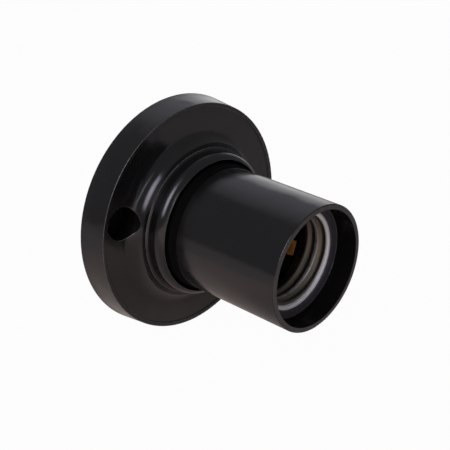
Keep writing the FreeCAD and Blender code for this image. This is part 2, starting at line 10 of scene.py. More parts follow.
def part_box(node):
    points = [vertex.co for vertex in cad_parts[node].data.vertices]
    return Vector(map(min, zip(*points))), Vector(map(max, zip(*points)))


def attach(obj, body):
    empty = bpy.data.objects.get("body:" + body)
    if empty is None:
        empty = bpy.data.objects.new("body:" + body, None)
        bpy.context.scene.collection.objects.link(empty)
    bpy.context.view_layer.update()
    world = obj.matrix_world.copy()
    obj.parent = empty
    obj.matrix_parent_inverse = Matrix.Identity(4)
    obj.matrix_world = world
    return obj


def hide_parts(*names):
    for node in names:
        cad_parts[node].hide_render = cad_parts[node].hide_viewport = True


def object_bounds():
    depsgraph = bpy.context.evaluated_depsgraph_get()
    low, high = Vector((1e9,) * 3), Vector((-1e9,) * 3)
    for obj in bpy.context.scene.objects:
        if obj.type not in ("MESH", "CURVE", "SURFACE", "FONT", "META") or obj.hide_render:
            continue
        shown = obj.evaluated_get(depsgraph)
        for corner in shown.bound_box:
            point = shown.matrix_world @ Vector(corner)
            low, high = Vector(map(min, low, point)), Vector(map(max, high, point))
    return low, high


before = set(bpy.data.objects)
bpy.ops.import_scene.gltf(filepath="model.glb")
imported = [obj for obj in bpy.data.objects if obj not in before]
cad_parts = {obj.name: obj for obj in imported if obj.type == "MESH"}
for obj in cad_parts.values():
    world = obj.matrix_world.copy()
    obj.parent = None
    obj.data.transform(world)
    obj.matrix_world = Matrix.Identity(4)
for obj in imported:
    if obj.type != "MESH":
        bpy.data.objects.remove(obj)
CAD_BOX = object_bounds()

bl_info = {
    "name": "Surface lamp holder",
    "version": (1, 0, 0),
    "blender": (4, 5, 0),
    "location": "View3D > Sidebar > Lamp holder",
    "description": "Finishes, threads and stage for a surface-mounted E27 lamp holder",
    "category": "Object",
}

TAU = 2.0 * math.pi


# ---------------------------------------------------------------- sizes and colours
def length(name, description, default):
    return bpy.props.FloatProperty(
        name=name, description=description, default=default,
        subtype="DISTANCE", unit="LENGTH", precision=5,
    )


def angle_of(name, description, degrees):
    return bpy.props.FloatProperty(
        name=name, description=description, default=math.radians(degrees),
        subtype="ANGLE", unit="ROTATION",
    )


def colour(name, description, default):
    return bpy.props.FloatVectorProperty(
        name=name, description=description, default=default,
        size=3, subtype="COLOR", min=0.0, max=1.0,
    )


def share(name, description, default):
    return bpy.props.FloatProperty(
        name=name, description=description, default=default,
        subtype="FACTOR", min=0.0, max=1.0,
    )


class LampHolderMoulding(bpy.types.PropertyGroup):
    """Black moulding of the base and the shell."""

    black: colour("Black", "Colour of the moulded phenolic", (0.0065, 0.006, 0.006))
    filler: colour("Filler", "Colour where the wood filler shows through", (0.013, 0.0105, 0.009))
    gloss: share("Roughness", "Roughness of the moulded skin", 0.15)
    worn_and_highlit: share("Edge roughness", "Roughness added where the flash was tumbled off", 0.22)
    ripple: length("Ripple", "Height of the slow waves in the moulded skin", 0.00004)
    # lighter tone of the matt ledge: partly its duller finish, partly painted light where it faces
    # the mouth
    matt_and_lit_ledge: colour("Matt black", "Colour of the ledge round the sleeve", (0.050, 0.046, 0.055))
    # painted shade: near-black colour and weak shine in the screw joint, the threaded tail, the
    # fixing holes and the skirt's inner face, with clumps of dust over it
    painted_shade: colour("Soot", "Colour of rough and sheltered places", (0.002, 0.0017, 0.0012))
    crust: colour("Crust", "Colour of the dust that clings to them", (0.0075, 0.0068, 0.0048))
    shade_shine: share("Soot shine", "Specular level of rough and sheltered places", 0.08)
    insert_black: colour("Insert", "Colour of the moulded insert", (0.012, 0.011, 0.0105))
    mouth: length("Mouth", "Radius of the collar's plain mouth", 0.02008)
    joint_floor: length("Joint floor", "Wall to the foot of the screw joint", 0.0051)
    mouth_top: length("Mouth top", "Wall to the matt part of the collar's mouth", 0.0171)
    tail: length("Tail", "Radius of the shell's threaded tail, past its ridge", 0.0192)
    tail_top: length("Tail top", "Wall to the end of the shell's threaded tail", 0.0203)
    skirt: length("Skirt", "Radius of the skirt's inner face", 0.01667)
    ledge: length("Ledge", "Wall to the ledge round the sleeve", 0.0493)
    hole_circle: length("Hole circle", "Radius of the circle of the fixing holes", 0.0282)
    hole_angle: angle_of("Hole angle", "Direction of a fixing hole", 165.9)
    # painted highlight: this tone lights the thin edges of the lip, the crease, the collar's mouth
    # and the fixing holes, and paints part of the flat of the shell's mouth lighter
    highlight_tone: colour("Worn edge", "Colour of edges that were tumbled bright", (0.12, 0.115, 0.112))
    face: length("Face", "Wall to the flat of the shell's mouth", 0.05584)
    face_lightening: share("Face wear", "How far that flat is worn", 0.28)
    highlight_width: length("Worn width", "Width of a worn edge", 0.00018)
    lip: length("Lip", "Radius of the lip's outer edge", 0.0349)
    lip_inside: length("Lip inside", "Radius of the lip's inner edge", 0.0339)
    lip_top: length("Lip top", "Wall to the top of the lip", 0.00855)
    crease: length("Crease", "Radius of the crease at the collar's foot", 0.0227)
    crease_top: length("Crease top", "Wall to that crease", 0.0123)
    collar_edge: length("Collar edge", "Radius of the edge of the collar's mouth", 0.02022)
    collar_top: length("Collar top", "Wall to the top of the collar", 0.01735)
    hole: length("Hole", "Radius of a fixing hole's counterbore", 0.00492)
    hole_top: length("Hole top", "Wall to the rounded edge of a fixing hole", 0.0077)


class LampHolderMetals(bpy.types.PropertyGroup):
    """Sheet metal and fasteners."""

    plating: colour("Plating", "Colour of the sleeve's bright rim", (0.97, 0.97, 0.96))
    # painted sheen: a white diffuse share on the rim and the crest highlight stands in for their
    # bright reflection
    painted_sheen: share("Bloom", "White bloom on the bright parts of the plating", 0.55)
    # painted light on the thread: the drawn-sheet colour shows only as a painted highlight line on
    # the crests nearest the mouth, and the groove colour is painted shade over the rest of the
    # thread
    drawn: colour("Drawn sheet", "Colour of the sleeve's worn crests", (0.85, 0.84, 0.82))
    thread_shade: colour("Groove", "Dusty sheet in the grooves", (0.21, 0.19, 0.155))
    # painted shade: brass and tarnish are both darkened to stand in for the shade inside the holder
    brass: colour("Brass", "Colour of the contacts", (0.22, 0.095, 0.018))
    tarnish: colour("Tarnish", "Colour of tarnished brass", (0.04, 0.017, 0.006))
    zinc: colour("Zinc", "Colour of the zinc-plated steel", (0.62, 0.62, 0.60))
    zinc_cloud: colour("Zinc cloud", "Colour of its duller clouds", (0.40, 0.385, 0.36))


class LampHolderThreads(bpy.types.PropertyGroup):
    """Threads of the sleeve and of the screws."""

    sleeve_pitch: length("Sleeve pitch", "Pitch of the Edison thread", 0.003629)
    sleeve_depth: length("Sleeve depth", "Depth of the Edison thread", 0.001)
    sheet: length("Sheet", "Thickness of the sleeve's sheet", 0.0004)
    sleeve_minor: length("Crest radius", "Radius of the sleeve's crests, seen from inside", 0.0123)
    sleeve_first_crest: length("First crest", "Sleeve's rim down to its first crest", 0.0038)
    # depth limit of the painted highlight on the crests; deeper crests get painted shade
    highlight_down_to: length("Worn down to", "Wall to the deepest crest worn by lamps", 0.0429)
    rim_low: length("Rim", "Wall to the foot of the sleeve's bright rim", 0.0479)
    screw_depth: length("Screw thread", "Depth of the fine threads of the screws", 0.00025)
    terminal_pitch: length("Terminal pitch", "Pitch of the terminal screws", 0.0006)
    terminal_head: length("Terminal head", "Radius of a terminal screw's head", 0.0032)
    terminal_head_h: length("Terminal head height", "Height of that head", 0.002)
    terminal_shank: length("Terminal shank", "Radius of a terminal screw's thread", 0.00175)
    fixing_pitch: length("Fixing pitch", "Pitch of the insert's fixing screws", 0.0005)
    fixing_head: length("Fixing head", "Radius of a fixing screw's head", 0.0028)
    fixing_head_h: length("Fixing head height", "Height of that head", 0.0019)
    fixing_shank: length("Fixing shank", "Radius of a fixing screw's thread", 0.0015)


class LampHolderStage(bpy.types.PropertyGroup):
    """Floor, lights and camera."""

    floor: colour("Floor", "Colour of the floor near the holder", (0.86, 0.73, 0.64))
    floor_far: colour("Far floor", "Colour of the floor further off", (0.82, 0.74, 0.69))
    glow: share("Glow", "Light of the floor under the holder in reflections", 0.22)
    front_glow: share("Front glow", "Light of the floor before the mouth in reflections", 0.95)
    floor_near: length("Near floor", "How far the pale floor reaches", 0.100)
    floor_edge: length("Floor edge", "Width over which the pale floor gives way", 0.016)
    room: share("Room", "Brightness of the room round the stage", 0.2)
    room_tint: colour("Room tint", "Colour of the room round the stage", (0.93, 0.94, 1.0))
    gap: length("Floor gap", "Floor below the flange", 0.0004)
    camera_from: bpy.props.FloatVectorProperty(
        name="Camera", description="Place of the camera", default=(-0.1640, -0.1807, 0.1099),
        size=3, subtype="TRANSLATION", unit="LENGTH",
    )
    azimuth: angle_of("Azimuth", "Direction of the view, from +Y towards +X", 45.81)
    elevation: angle_of("Elevation", "View downwards", 25.32)
    lens: bpy.props.FloatProperty(
        name="Lens", description="Focal length on a 36 mm sensor", default=69.62,
        subtype="DISTANCE_CAMERA", unit="CAMERA",
    )


# ---------------------------------------------------------------- shader expressions
class Wire:
    """A socket of a node tree that can be used in sums."""

    def __init__(self, shader, socket):
        self.shader = shader
        self.socket = socket

    def _math(self, operation, a, b=None):
        inputs = {0: a} if b is None else {0: a, 1: b}
        return self.shader.node("ShaderNodeMath", {"operation": operation}, inputs)

    def __add__(self, other):
        return self._math("ADD", self, other)

    def __radd__(self, other):
        return self._math("ADD", other, self)

    def __sub__(self, other):
        return self._math("SUBTRACT", self, other)

    def __rsub__(self, other):
        return self._math("SUBTRACT", other, self)

    def __mul__(self, other):
        return self._math("MULTIPLY", self, other)

    def __rmul__(self, other):
        return self._math("MULTIPLY", other, self)

    def __truediv__(self, other):
        return self._math("DIVIDE", self, other)

    def __rtruediv__(self, other):
        return self._math("DIVIDE", other, self)

    def __pow__(self, other):
        return self._math("POWER", self, other)

    def clamped(self):
        return self.shader.node("ShaderNodeClamp", {}, {"Value": self})


def opaque(tone):
    """A colour with full alpha; a wire stays as it is."""
    return tone if isinstance(tone, Wire) else (*tone, 1.0)


class Finish:
    """Nodes of a material, a world or a light under construction."""

    def __init__(self, owner):
        owner.use_nodes = True
        self.owner = owner
        self.tree = owner.node_tree
        self.tree.nodes.clear()

    def node(self, kind, settings=None, inputs=None, output=0):
        made = self.tree.nodes.new(kind)
        for key, value in (settings or {}).items():
            if key == "stops":
                self._set_stops(made.color_ramp, value)
            else:
                setattr(made, key, value)
        for key, value in (inputs or {}).items():
            if isinstance(value, Wire):
                self.tree.links.new(value.socket, made.inputs[key])
            else:
                made.inputs[key].default_value = value
        return Wire(self, made.outputs[output]) if len(made.outputs) else None

    def _set_stops(self, ramp, stops):
        while len(ramp.elements) > len(stops):
            ramp.elements.remove(ramp.elements[-1])
        while len(ramp.elements) < len(stops):
            ramp.elements.new(1.0)
        for element, (position, tone) in zip(ramp.elements, stops):
            element.position = position
            element.color = (tone, tone, tone, 1.0)

    def place(self):
        return self.node("ShaderNodeTexCoord", output="Object")

    def parts(self, vector):
        """The three components of a vector."""
        first = self.node("ShaderNodeSeparateXYZ", {}, {"Vector": vector})
        return [Wire(self, socket) for socket in first.socket.node.outputs]

    def stretched(self, vector, factors):
        return self.node("ShaderNodeVectorMath", {"operation": "MULTIPLY"}, {0: vector, 1: factors})

    def noise(self, per_metre, detail=2.0, roughness=0.5, vector=None, distortion=0.0):
        """Noise with so many waves to the metre."""
        source = vector if vector is not None else self.place()
        return self.node(
            "ShaderNodeTexNoise", {},
            {"Vector": source, "Scale": per_metre, "Detail": detail, "Roughness": roughness,
             "Distortion": distortion},
        )

    def ramp(self, value, stops):
        return self.node("ShaderNodeValToRGB", {"stops": stops}, {"Fac": value})

    def between(self, factor, a, b):
        """Colour a where the factor is 0 and b where it is 1."""
        return self.node(
            "ShaderNodeMix", {"data_type": "RGBA"},
            {0: factor, 6: opaque(a), 7: opaque(b)},
            output=2,
        )

    def bump(self, height, distance, strength=1.0, under=None):
        inputs = {"Height": height, "Distance": distance, "Strength": strength}
        if under is not None:
            inputs["Normal"] = under
        return self.node("ShaderNodeBump", {}, inputs)

    def pointiness(self):
        return self.node("ShaderNodeNewGeometry", output="Pointiness")

    def radius_and_depth(self):
        """Distance from the turning axis and distance out of the wall, in metres."""
        x, y, z = self.parts(self.place())
        return (x * x + z * z) ** 0.5, y * -1.0

    def surface(self, base, roughness, metallic=0.0, normal=None, **uniform):
        inputs = {"Base Color": opaque(base), "Roughness": roughness, "Metallic": metallic}
        if normal is not None:
            inputs["Normal"] = normal
        inputs.update(uniform)
        return self.node("ShaderNodeBsdfPrincipled", {}, inputs)

    def shared(self, factor, a, b):
        """Surface a where the factor is 0 and b where it is 1."""
        return self.node("ShaderNodeMixShader", {}, {0: factor, 1: a, 2: b})

    def finished(self, shaded, kind="ShaderNodeOutputMaterial"):
        self.node(kind, {}, {"Surface": shaded})
        return self.owner


def material(name):
    return Finish(bpy.data.materials.new(name))


# ---------------------------------------------------------------- finishes
FAR = 1.0                   # a limit past every piece, in metres
SIDES = (1.0, -1.0)         # the two fixing holes

SKIRT_MARGIN = 0.00006      # face of the skirt with painted shade, outwards
TAIL_MARGIN = 0.0005        # skirt's inner face to the wall of the threaded tail
LEDGE_MARGIN = 0.0001       # ledge to the foot of the sooty face
MATT_MARGIN = 0.00005       # matt ledge, kept inside the skirt
MATT_DEPTH = 0.0003         # matt ledge, downwards

SPECK_SHARE = 0.5           # filler's colour in a speck
MATT_ROUGHNESS = 0.4        # added on the matt ledge
SKIRT_SHADE = 0.85           # share of painted shade on the skirt's inner face
RIPPLE_REACH = 10.0         # bump distance for the height of a ripple
SKIN_IOR = 1.58
INSERT_IOR = 1.55


def between_limits(value, low, high, soft):
    """1 where a value lies between two limits, with soft edges."""
    rise = ((value - low) / soft).clamped()
    fall = ((high - value) / soft).clamped()
    return rise * fall


def below_limit(value, limit, soft):
    """1 where a value lies under a limit, with a soft edge."""
    return 1.0 - between_limits(value, limit, FAR, soft)


def hole_distance(f, sizes, side):
    """Distance from the axis of a fixing hole, in metres."""
    x, _, z = f.parts(f.place())
    hole_x = side * sizes.hole_circle * math.cos(sizes.hole_angle)
    hole_z = side * sizes.hole_circle * math.sin(sizes.hole_angle)
    return ((x - hole_x) ** 2.0 + (z - hole_z) ** 2.0) ** 0.5


def edge_highlights(f, sizes, radius, depth):
    """Painted highlights: 1 on the thin edges of the lip, the crease, the collar's mouth and the
    fixing holes, and partly on the flat of the shell's mouth, which is painted lighter."""
    half, soft = sizes.highlight_width / 2.0, sizes.highlight_width / 3.0
    rings = (
        (sizes.lip, sizes.lip_top),
        (sizes.lip_inside, sizes.lip_top),
        (sizes.crease, sizes.crease_top),
        (sizes.collar_edge, sizes.collar_top),
    )
    worn_and_highlit = 0.0
    for ring, height in rings:
        near = between_limits(radius, ring - half, ring + half, soft)
        level = between_limits(depth, height - 2.0 * half, height + 2.0 * half, soft)
        worn_and_highlit = near * level + worn_and_highlit
    for side in SIDES:
        away = hole_distance(f, sizes, side)
        rim = between_limits(away, sizes.hole, sizes.hole + sizes.highlight_width, soft)
        worn_and_highlit = rim * between_limits(depth, sizes.hole_top, sizes.lip_top, soft) + worn_and_highlit
    face = between_limits(depth, sizes.face, FAR, soft=0.00004) * sizes.face_lightening
    return (worn_and_highlit + face).clamped()


def painted_shade_places(f, sizes, radius, depth):
    """Two masks of painted shade: the screw joint with the threaded tail and the fixing holes, and
    the skirt's inner face.
    """
    joint = below_limit(radius, sizes.mouth, soft=0.00006) * between_limits(
        depth, sizes.joint_floor, sizes.mouth_top, soft=0.0001)
    tail_wall = between_limits(radius, sizes.skirt + TAIL_MARGIN, sizes.tail, soft=0.00005)
    tail = tail_wall * between_limits(depth, 0.0, sizes.tail_top, soft=0.0002)
    skirt = below_limit(radius, sizes.skirt + SKIRT_MARGIN, soft=0.00003) * between_limits(
        depth, sizes.ledge + LEDGE_MARGIN, FAR, soft=0.00008)
    outside = 1.0
    for side in SIDES:
        away = hole_distance(f, sizes, side)
        outside = between_limits(away, sizes.hole, FAR, soft=0.00006) * outside
    holes = (1.0 - outside) * between_limits(depth, 0.0, sizes.hole_top, soft=0.0001)
    return (joint + tail + holes).clamped(), skirt


def moulded_black(name, sizes, dust_share, waves_per_metre):
    """Glossy wood-filled phenolic: slow ripples, fine filler specks, duller tumbled edges with
    painted highlights along the thin ones, a matt ledge painted lighter where it faces the mouth,
    and rough faces with painted shade in the screw joint, the fixing holes and the skirt's inner
    face."""
    f = material(name)
    radius, depth = f.radius_and_depth()
    shade_mask, skirt = painted_shade_places(f, sizes, radius, depth)
    matt = below_limit(radius, sizes.skirt - MATT_MARGIN, soft=0.00003) * between_limits(
        depth, sizes.ledge - MATT_DEPTH, sizes.ledge + LEDGE_MARGIN, soft=0.00005)
    specks = f.ramp(f.noise(5200.0, detail=3.0, roughness=0.6), [(0.60, 0.0), (0.72, 1.0)])
    clouds = f.noise(95.0, detail=3.0, roughness=0.55)
    filled = specks * SPECK_SHARE + f.ramp(clouds, [(0.45, 0.0), (0.7, 0.35)])
    base = f.between(filled, tuple(sizes.black), tuple(sizes.filler))
    edges = f.ramp(f.pointiness(), [(0.52, 0.0), (0.60, 1.0)])
    stroke = f.stretched(f.place(), (1.0, 0.35, 1.0))
    smears = f.noise(240.0, detail=4.0, roughness=0.6, vector=stroke)
    dust = f.ramp(smears, [(0.48, 0.0), (0.75, 1.0)])
    patchy = f.ramp(f.noise(700.0), [(0.3, 0.35), (0.6, 1.0)])
    worn_and_highlit = edge_highlights(f, sizes, radius, depth) * patchy
    # matt ledge: its real duller finish plus a lighter tone of painted light
    base = f.between(matt, base, tuple(sizes.matt_and_lit_ledge))
    # painted highlight along the thin edges, and a lighter tone over part of the mouth's flat
    base = f.between(worn_and_highlit, base, tuple(sizes.highlight_tone))
    roughness = (sizes.gloss + edges * sizes.worn_and_highlit + dust * dust_share
                 + matt * MATT_ROUGHNESS).clamped()
    waves = f.noise(waves_per_metre, detail=1.0, roughness=0.4)
    skin = f.bump(waves, distance=sizes.ripple * RIPPLE_REACH, strength=0.5)
    fine = f.noise(3400.0, detail=2.0, roughness=0.5)
    grain = f.bump(fine, distance=0.000012, strength=0.35, under=skin)
    glossy = f.surface(base, roughness, normal=grain, IOR=SKIN_IOR)
    # painted shade in the sheltered places: near-black and weakly shining, with clumps of dust
    crust = f.noise(1500.0, detail=4.0, roughness=0.7)
    clumps = f.ramp(crust, [(0.55, 0.0), (0.8, 1.0)])
    painted_shade = f.between(clumps, tuple(sizes.painted_shade), tuple(sizes.crust))
    crumbs = f.bump(crust, distance=0.00015, strength=0.8)
    rough = f.surface(painted_shade, 0.55 + crust * 0.3, normal=crumbs,
                      **{"Specular IOR Level": sizes.shade_shine})
    return f.finished(f.shared((shade_mask + skirt * SKIRT_SHADE).clamped(), glossy, rough))


def moulded_insert(name, sizes):
    """Insert's duller phenolic, with flow marks."""
    f = material(name)
    along = f.stretched(f.place(), (1.0, 3.0, 1.0))
    flow = f.noise(420.0, detail=4.0, roughness=0.6, vector=along, distortion=0.6)
    marks = f.ramp(flow, [(0.4, 0.0), (0.7, 1.0)])
    base = f.between(marks, tuple(sizes.insert_black), tuple(sizes.filler))
    fine = f.noise(2600.0, detail=3.0, roughness=0.6)
    grain = f.bump(fine, distance=0.00002, strength=0.5)
    return f.finished(f.surface(base, 0.38 + flow * 0.18, normal=grain, IOR=INSERT_IOR))


def plated_sheet(name, metals, sleeve):
    """Plated sheet: bright rolled rim with painted sheen, drawn lines round the axis, painted shade
    over the grooves, flanks and deeper crests, and a painted highlight on the crests nearest the
    mouth.
    """
    f = material(name)
    radius, depth = f.radius_and_depth()
    outwards = (radius - sleeve.sleeve_minor) / sleeve.sleeve_depth
    flank = f.ramp(outwards, [(0.07, 0.0), (0.22, 1.0)])
    reached = ((depth - sleeve.highlight_down_to) / sleeve.sleeve_depth).clamped()
    stains = f.noise(520.0, detail=4.0, roughness=0.65)
    clean = 0.6 + 0.4 * f.ramp(stains, [(0.35, 1.0), (0.7, 0.0)])
    # painted shade over the thread, except a painted highlight on the apexes of the crests nearest
    # the mouth
    dull_and_shaded = (1.0 - (1.0 - flank) * reached * clean).clamped()
    rim = between_limits(depth, sleeve.rim_low, FAR, soft=0.0002)
    thread = f.between(dull_and_shaded, tuple(metals.drawn), tuple(metals.thread_shade))
    base = f.between(rim, thread, tuple(metals.plating))
    around = f.stretched(f.place(), (260.0, 9000.0, 260.0))
    lines = f.noise(1.0, detail=3.0, roughness=0.6, vector=around)
    roughness = 0.24 + lines * 0.12 + dull_and_shaded * 0.24 + rim * 0.05
    drawn = f.bump(lines, distance=0.000006, strength=0.35)
    uneven = f.noise(380.0, detail=2.0, roughness=0.5)
    dents = f.bump(uneven, distance=0.00006, strength=0.3, under=drawn)
    # painted sheen: white diffuse share on the rim and the crest highlight
    metallic = 1.0 - (rim + (1.0 - dull_and_shaded)).clamped() * metals.painted_sheen
    return f.finished(f.surface(base, roughness, metallic, dents))


def rolled_brass(name, metals):
    """Brass strip: rolling lines along the strip and patches of tarnish, with both colours darkened
    as painted shade.
    """
    f = material(name)
    patches = f.ramp(f.noise(430.0, detail=4.0, roughness=0.6), [(0.38, 0.0), (0.6, 0.9)])
    edges = f.ramp(f.pointiness(), [(0.5, 0.0), (0.6, 0.6)])
    base = f.between((patches - edges).clamped(), tuple(metals.brass), tuple(metals.tarnish))
    along = f.stretched(f.place(), (6000.0, 500.0, 6000.0))
    lines = f.noise(1.0, detail=3.0, roughness=0.6, vector=along)
    roughness = 0.34 + patches * 0.2 + lines * 0.08
    rolled = f.bump(lines, distance=0.000005, strength=0.4)
    return f.finished(f.surface(base, roughness, 1.0, rolled))


def zinc_plate(name, metals):
    """Zinc-plated steel: cloudy spangle and a slight grain."""
    f = material(name)
    cloud = f.noise(900.0, detail=3.0, roughness=0.6)
    spangle = f.ramp(cloud, [(0.35, 0.0), (0.7, 0.7)])
    base = f.between(spangle, tuple(metals.zinc), tuple(metals.zinc_cloud))
    roughness = 0.27 + cloud * 0.16
    grain = f.bump(f.noise(4200.0, detail=2.0, roughness=0.5), distance=0.000008, strength=0.5)
    return f.finished(f.surface(base, roughness, 1.0, grain))


def dress(piece, finish):
    piece.data.materials.clear()
    piece.data.materials.append(finish)


# ---------------------------------------------------------------- mesh helpers
SAME_POINT = 1e-7           # points closer than this are merged, in metres
SHARP_DEG = 35.0            # edges sharper than this aren't smoothed


def on_wall(r, depth, angle):
    """Point at a radius, a depth out of the wall and an angle seen from in front."""
    return Vector((r * math.cos(angle), -depth, r * math.sin(angle)))


def linked(name, data):
    piece = bpy.data.objects.new(name, data)
    bpy.context.scene.collection.objects.link(piece)
    return piece


def smoothed(mesh):
    mesh.polygons.foreach_set("use_smooth", [True] * len(mesh.polygons))
    return mesh


def taken_from(built, name):
    """Mesh with what was built, which is freed."""
    mesh = bpy.data.meshes.new(name)
    built.to_mesh(mesh)
    built.free()
    return mesh


def grid_mesh(name, rows, closed_round, closed_along=False):
    """Quads between rows of points, smooth all over."""
    mesh = bpy.data.meshes.new(name)
    width = len(rows[0])
    points = [p for row in rows for p in row]
    faces = []
    row_pairs = len(rows) if closed_along else len(rows) - 1
    for i in range(row_pairs):
        a, b = i * width, ((i + 1) % len(rows)) * width
        for k in range(width if closed_round else width - 1):
            n = (k + 1) % width
            faces.append((a + k, a + n, b + n, b + k))
    mesh.from_pydata(points, [], faces)
    built = bmesh.new()
    built.from_mesh(mesh)
    bmesh.ops.remove_doubles(built, verts=built.verts, dist=SAME_POINT)
    bmesh.ops.recalc_face_normals(built, faces=built.faces)
    built.to_mesh(mesh)
    built.free()
    return smoothed(mesh)


def joined_meshes(name, meshes):
    whole = bmesh.new()
    for mesh in meshes:
        whole.from_mesh(mesh)
        bpy.data.meshes.remove(mesh)
    return taken_from(whole, name)


def rounded_corner(centre, radius, from_deg, to_deg, steps):
    corner = []
    for k in range(steps + 1):
        angle = math.radians(from_deg + (to_deg - from_deg) * k / steps)
        corner.append((centre[0] + radius * math.cos(angle), centre[1] + radius * math.sin(angle)))
    return corner


# ---------------------------------------------------------------- sleeve
def sleeve_offset(phase, depth):
    """Inward displacement of the sheet at a phase of the rounded Edison thread, 0 on a groove."""
    wave = 0.5 + 0.5 * math.cos(TAU * phase)
    eased = wave * wave * (3.0 - 2.0 * wave)
    return depth * (0.35 * wave + 0.65 * eased)


def sleeve_mesh(sizes):
    """Drawn sheet: rolled rim, rounded thread fading out at both ends, turned-out lower edge."""
    low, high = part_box("thread_sleeve")
    bottom, top = -high.y, -low.y
    sheet = sizes.sheet
    groove_r = sizes.sleeve_minor + sizes.sleeve_depth
    bend = 0.0006               # inside radius of both turned edges
    fade = 0.0011               # height over which the thread fades out
    outer_bend = 0.00012        # outside radius of both turned edges, less the sheet
    crest_depth = top - sizes.sleeve_first_crest
    crest_angle = math.radians(-30.0)
    tail_reach = groove_r + sheet + 0.00075
    around, along = 288, 150
    corner_steps, rim_steps = 6, 8
    start, end = bottom + sheet + bend, top - bend
    half = sheet / 2
    rim_in = rounded_corner((groove_r + bend, top - bend), bend, 180.0, 90.0, corner_steps)
    rim_out = rounded_corner((high.x - half, top - half), half, 90.0, -90.0, rim_steps)
    under = [(groove_r + sheet + outer_bend, top - sheet)]
    lower_in = rounded_corner((groove_r + bend, bottom + bend), bend, 180.0, 270.0, corner_steps)
    lower_out = rounded_corner((tail_reach - half, bottom + half), half, -90.0, 90.0, corner_steps)
    lower_top = [(groove_r + sheet + outer_bend, bottom + sheet)]
    wall_depths = [start + (end - start) * k / along for k in range(along + 1)]

    def pressed(depth, angle):
        phase = (depth - crest_depth) / sizes.sleeve_pitch - (angle - crest_angle) / TAU
        near = min(depth - start, end - depth) / fade
        grow = max(0.0, min(1.0, near))
        grow = grow * grow * (3.0 - 2.0 * grow)
        return sleeve_offset(phase, sizes.sleeve_depth) * grow

    rows = []
    for k in range(around):
        angle = TAU * k / around
        inside = [(groove_r - pressed(d, angle), d) for d in wall_depths]
        outside = [(groove_r + sheet - pressed(d, angle), d) for d in reversed(wall_depths)]
        section = (lower_in[::-1] + inside + rim_in + rim_out + under + outside + lower_top
                   + lower_out[::-1])
        rows.append([on_wall(r, d, angle) for r, d in section])
    return grid_mesh("sleeve_sheet", rows, closed_round=True, closed_along=True)


# ---------------------------------------------------------------- screws
def threaded_shank(name, place, radius, tip, seat, pitch, depth):
    """Fine thread from a pointed start at the tip up to the head."""
    x, z = place
    around, steps_per_turn = 40, 8
    count = max(2, int((seat - tip) / pitch * steps_per_turn))
    lead = radius * 0.3
    rows = [[Vector((x, -tip, z))] * around]
    for i in range(count + 1):
        d = tip + (seat - tip) * i / count
        ring = []
        for k in range(around):
            angle = TAU * k / around
            phase = (d / pitch - k / around) % 1.0
            ridge = 1.0 - abs(2.0 * phase - 1.0)
            r = radius - depth * (1.0 - ridge)
            r = min(r, radius - lead + (d - tip))
            ring.append(Vector((x + r * math.cos(angle), -d, z + r * math.sin(angle))))
        rows.append(ring)
    rows.append([Vector((x, -seat, z))] * around)
    return grid_mesh(name, rows, closed_round=True)


def head_blank(name, radius, seat, height):
    """Cheese head with a rounded rim, turned on the axis of its own frame."""
    edge = height / 5
    under = 0.0001              # bevel at the seat
    around, corner_steps = 96, 6
    shoulder = seat + height - edge
    profile = [(radius - under, seat), (radius, seat + under), (radius, shoulder)]
    profile += rounded_corner((radius - edge, shoulder), edge, 0.0, 90.0, corner_steps)[1:]
    built = bmesh.new()
    rings = []
    for r, d in profile:
        turns = [TAU * k / around for k in range(around)]
        rings.append([built.verts.new((r * math.cos(a), r * math.sin(a), d)) for a in turns])
    bottom = built.verts.new((0.0, 0.0, seat))
    for k in range(around):
        n = (k + 1) % around
        built.faces.new((bottom, rings[0][n], rings[0][k]))
        for a, b in zip(rings, rings[1:]):
            built.faces.new((a[k], a[n], b[n], b[k]))
    built.faces.new(rings[-1])
    bmesh.ops.recalc_face_normals(built, faces=built.faces)
    return taken_from(built, name)


def saw_blade(name, radius, seat, height):
    """Block that saws the slot down to half of the head's height."""
    slot = radius / 6           # half of the slot's width
    saw = bmesh.new()
    bmesh.ops.create_cube(saw, size=1.0)
    for v in saw.verts:
        up = seat + height / 2 + (v.co.z + 0.5) * height
        v.co = Vector((v.co.x * radius * 3, v.co.y * slot * 2, up))
    return taken_from(saw, name)


def slotted_head(name, place, radius, seat, height, slot_deg):
    """Cheese head with its sawn slot, laid on its place on the wall."""
    x, z = place
    blank = head_blank(name, radius, seat, height)
    blade = saw_blade(name + "_saw", radius, seat, height)
    head = linked(name + "_blank", blank)
    cutter = linked(name + "_cutter", blade)
    sawn = head.modifiers.new("slot", "BOOLEAN")
    sawn.object = cutter
    sawn.solver = "EXACT"
    graph = bpy.context.evaluated_depsgraph_get()
    cut_mesh = bpy.data.meshes.new_from_object(head.evaluated_get(graph))
    for piece, mesh in ((head, blank), (cutter, blade)):
        bpy.data.objects.remove(piece)
        bpy.data.meshes.remove(mesh)
    outwards = Matrix.Rotation(math.pi / 2, 4, "X")
    turned = Matrix.Rotation(math.radians(slot_deg), 4, "Z")
    cut_mesh.transform(Matrix.Translation((x, 0.0, z)) @ outwards @ turned)
    smoothed(cut_mesh).set_sharp_from_angle(angle=math.radians(SHARP_DEG))
    return cut_mesh


def fine_screw(node, head_r, head_h, shank_r, pitch, depth, slot_deg, finish):
    """A slotted screw with its fine thread, where the plain one stands."""
    low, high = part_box(node)
    place = (low.x + high.x) / 2, (low.z + high.z) / 2
    tip, seat = -high.y, -low.y - head_h
    shank_top = seat + head_h / 4
    shank = threaded_shank(node + "_thread", place, shank_r, tip, shank_top, pitch, depth)
    head = slotted_head(node + "_head", place, head_r, seat, head_h, slot_deg)
    piece = linked(node + "_fine", joined_meshes(node + "_fine", [head, shank]))
    dress(piece, finish)
    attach(piece, "holder_base")
    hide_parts(node)


